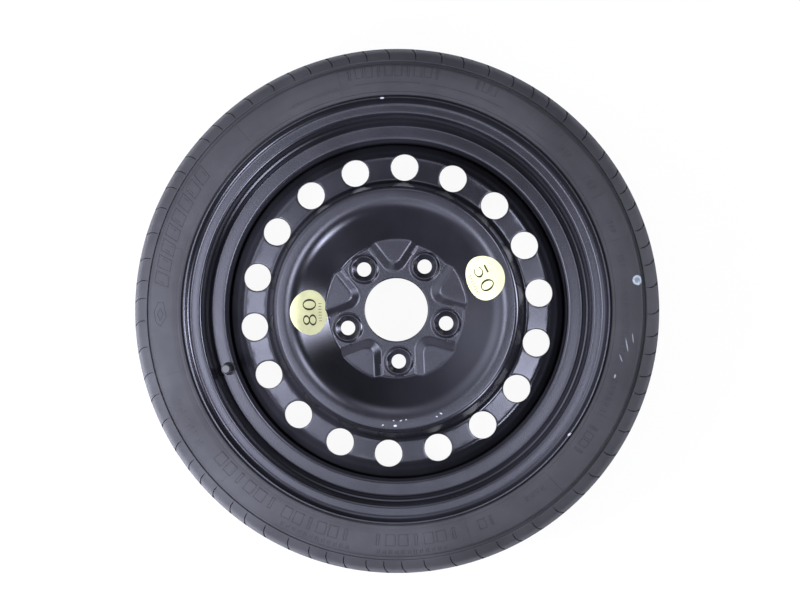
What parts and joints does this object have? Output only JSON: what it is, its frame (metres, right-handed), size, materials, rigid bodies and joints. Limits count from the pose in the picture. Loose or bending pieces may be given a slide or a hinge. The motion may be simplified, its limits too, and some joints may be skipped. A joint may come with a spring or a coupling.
{
  "type": "space saver spare wheel",
  "caption": "Narrow temporary spare wheel: thin tyre on a rolled steel rim with a deep pressed disc, round vents, bolt holes in a hub pad, snap-in valve and speed stickers.",
  "frame": {"origin": "centre of the hub mounting face, on the wheel's axis", "axes": "+Z along the wheel's axis towards its outer face; the wheel lies flat on its inner side; +Y is up in the picture"},
  "size_m": [0.5926, 0.5926, 0.1393],
  "materials": {
    "tyre_rubber": "moulded rubber, dull",
    "black_paint": "glossy black dip paint",
    "weld": "painted weld metal",
    "sticker": "pale yellow printed vinyl",
    "black_rubber": "smooth rubber",
    "brass": "turned brass",
    "black_plastic": "moulded plastic",
    "white_plastic": "sealing ring",
    "spring_steel": "drawn wire"
  },
  "bodies": {
    "wheel": {"tyre": "tyre_rubber", "rim": "black_paint", "disc": "black_paint", "weld_beads": "weld", "label_80": "sticker", "label_50": "sticker", "valve_stem": "black_rubber", "valve_insert": "brass", "core_plug": "brass", "core_barrel": "brass", "core_gasket": "white_plastic", "core_spring": "spring_steel"},
    "cap": {"valve_cap": "black_plastic", "cap_seal": "black_rubber"},
    "core": {"core_pin": "brass", "core_cup": "brass", "core_cup_seal": "black_rubber"}
  },
  "joints": [
    {"name": "cap_off", "type": "slide", "parent": "wheel", "child": "cap", "axis": [0, 0, 1], "range_m": [0, 0.012]},
    {"name": "core_press", "type": "slide", "parent": "wheel", "child": "core", "axis": [0, 0, -1], "range_m": [0, 0.0013], "stiffness_N_per_m": 1500, "springref_m": -0.001, "deforming": ["core_spring"]}
  ]
}
